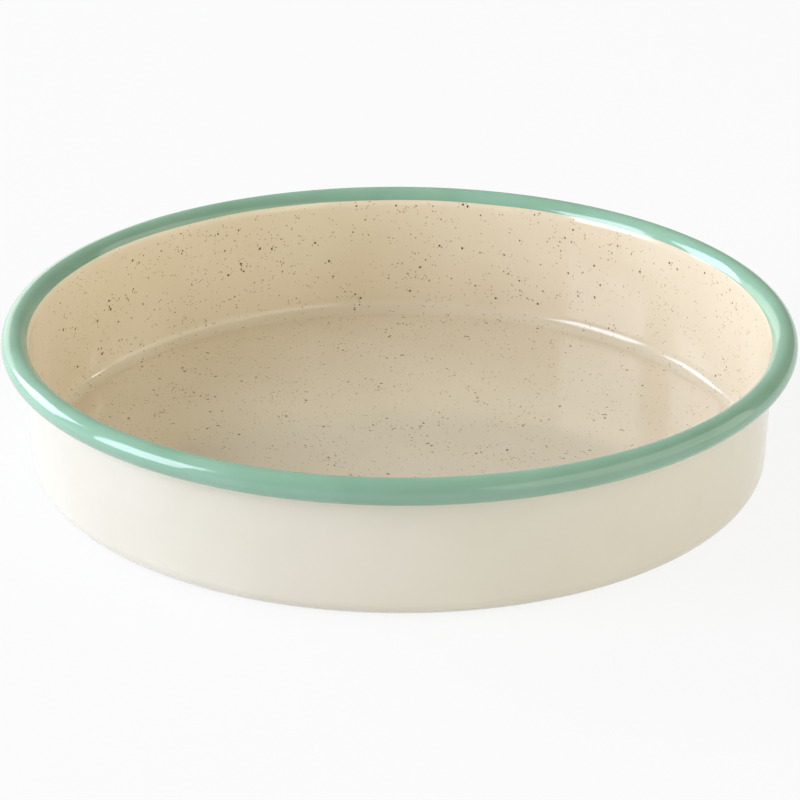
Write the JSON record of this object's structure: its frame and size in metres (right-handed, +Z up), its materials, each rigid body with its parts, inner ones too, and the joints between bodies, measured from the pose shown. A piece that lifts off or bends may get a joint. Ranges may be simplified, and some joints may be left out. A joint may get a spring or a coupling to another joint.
{
  "type": "round baking dish",
  "caption": "Shallow round baking dish of enamelled steel with a nearly upright wall, a rounded inner corner and a rolled rim, for baking in an oven and serving.",
  "frame": {"origin": "centre of the standing face, where the dish's axis meets the surface that it stands on", "axes": "+Z up along the axis of the dish, +X to the right and +Y away from the viewer of the picture; the dish is the same all round"},
  "size_m": [0.27, 0.27, 0.05],
  "materials": {
    "sheet_steel": "bare deep-drawing sheet, wholly covered by enamel",
    "ground_enamel": "dark satin ground coat, wholly covered",
    "speckled_enamel": "glossy beige with dark brown specks",
    "cream_enamel": "glossy cream",
    "green_enamel": "glossy sage green"
  },
  "bodies": {
    "root": {"steel_shell": "sheet_steel", "ground_coat_inside": "ground_enamel", "ground_coat_outside": "ground_enamel", "inner_enamel": "speckled_enamel", "outer_enamel": "cream_enamel", "rim_enamel": "green_enamel"}
  },
  "joints": []
}
